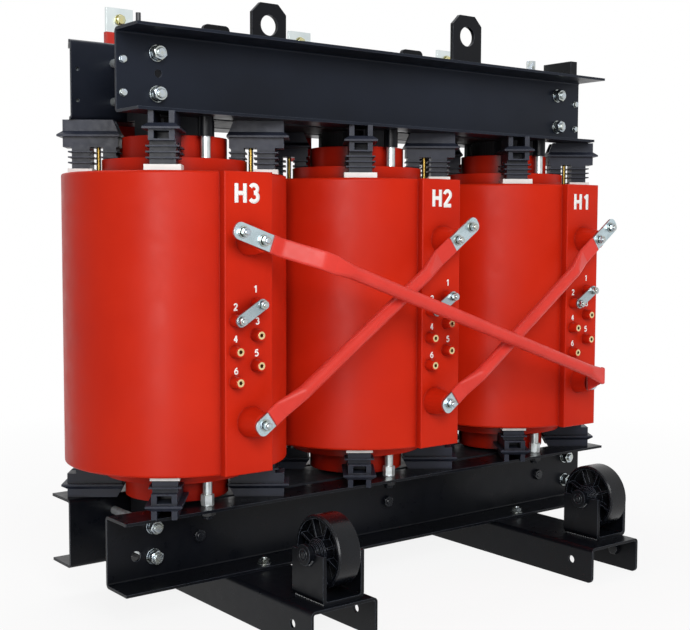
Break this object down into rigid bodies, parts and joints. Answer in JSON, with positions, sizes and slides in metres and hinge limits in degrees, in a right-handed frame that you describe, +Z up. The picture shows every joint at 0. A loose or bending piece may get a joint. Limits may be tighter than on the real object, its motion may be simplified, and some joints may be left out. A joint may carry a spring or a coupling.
{
  "type": "cast-resin dry type transformer",
  "caption": "Black-framed cast-resin dry type power transformer with red coils, red delta bars, tap links, lifting lugs and cross rails carrying wheels on axles.",
  "frame": {"origin": "on the floor under the middle of the core, at the undersides of the cross rails", "axes": "+X along the core from phase H3 to phase H1, -Y towards the high-voltage terminals, +Z up"},
  "size_m": [1.4799, 0.98, 1.344],
  "materials": {
    "black_paint": "semi-gloss black coat",
    "cast_iron": "black painted",
    "zinc": "bright zinc",
    "black_plastic": "satin",
    "core_steel": "varnished laminations",
    "board": "pressed board",
    "red_resin": "cast epoxy resin, satin",
    "slate_moulding": "moulded, satin",
    "white_pad": "silicone",
    "brass": "turned",
    "tinned": "tinned, satin",
    "red_sleeve": "shrink sleeve, satin"
  },
  "bodies": {
    "root": {"rail_left": "black_paint", "rail_right": "black_paint", "lower_beam_front": "black_paint", "lower_beam_rear": "black_paint", "upper_beam_front": "black_paint", "upper_beam_rear": "black_paint", "lifting_lugs": "black_paint", "rear_tabs": "black_paint", "end_bracket": "black_paint", "tie_rod_bosses": "black_paint", "yoke_bolts": "black_paint", "wheel_brackets": "black_paint", "wheel_axles": "black_paint", "rail_bolts": "zinc", "lower_clamp_rods": "zinc", "upper_clamp_rods": "zinc", "clamp_nuts": "zinc", "beam_screws": "zinc", "end_bracket_stud": "zinc", "tie_rods": "zinc", "tie_rod_nuts": "zinc", "lv_bolts": "zinc", "tap_bolts": "zinc", "terminal_bolts": "zinc", "tap_links": "zinc", "core_earth_stud": "black_plastic", "core_legs_lower_yoke": "core_steel", "core_upper_yoke": "core_steel", "yoke_boards": "board", "core_barriers": "red_resin", "hv_coil_h1": "red_resin", "hv_coil_h2": "red_resin", "hv_coil_h3": "red_resin", "lv_coil_h1": "red_resin", "lv_coil_h2": "red_resin", "lv_coil_h3": "red_resin", "top_supports_h1": "slate_moulding", "top_supports_h2": "slate_moulding", "top_supports_h3": "slate_moulding", "bottom_supports_h1": "slate_moulding", "bottom_supports_h2": "slate_moulding", "bottom_supports_h3": "slate_moulding", "top_pads": "white_pad", "bottom_pads": "white_pad", "coil_studs": "brass", "tap_inserts": "brass", "terminal_inserts": "brass", "lv_bars": "tinned", "delta_bar_1": "tinned", "delta_bar_2": "tinned", "delta_bar_3": "tinned", "lv_sleeves": "red_sleeve", "delta_sleeve_1": "red_sleeve", "delta_sleeve_2": "red_sleeve", "delta_sleeve_3": "red_sleeve"},
    "wheel_front_left": {"wheel_front_left": "cast_iron"},
    "wheel_rear_left": {"wheel_rear_left": "cast_iron"},
    "wheel_front_right": {"wheel_front_right": "cast_iron"},
    "wheel_rear_right": {"wheel_rear_right": "cast_iron"}
  },
  "joints": [
    {"name": "wheel_front_left_axle", "type": "hinge", "parent": "root", "child": "wheel_front_left", "pos_m": [-0.385, -0.4, 0.176], "axis": [1, 0, 0], "continuous": true},
    {"name": "wheel_rear_left_axle", "type": "hinge", "parent": "root", "child": "wheel_rear_left", "pos_m": [-0.385, 0.4, 0.176], "axis": [1, 0, 0], "continuous": true},
    {"name": "wheel_front_right_axle", "type": "hinge", "parent": "root", "child": "wheel_front_right", "pos_m": [0.422, -0.4, 0.176], "axis": [1, 0, 0], "continuous": true},
    {"name": "wheel_rear_right_axle", "type": "hinge", "parent": "root", "child": "wheel_rear_right", "pos_m": [0.422, 0.4, 0.176], "axis": [1, 0, 0], "continuous": true}
  ]
}
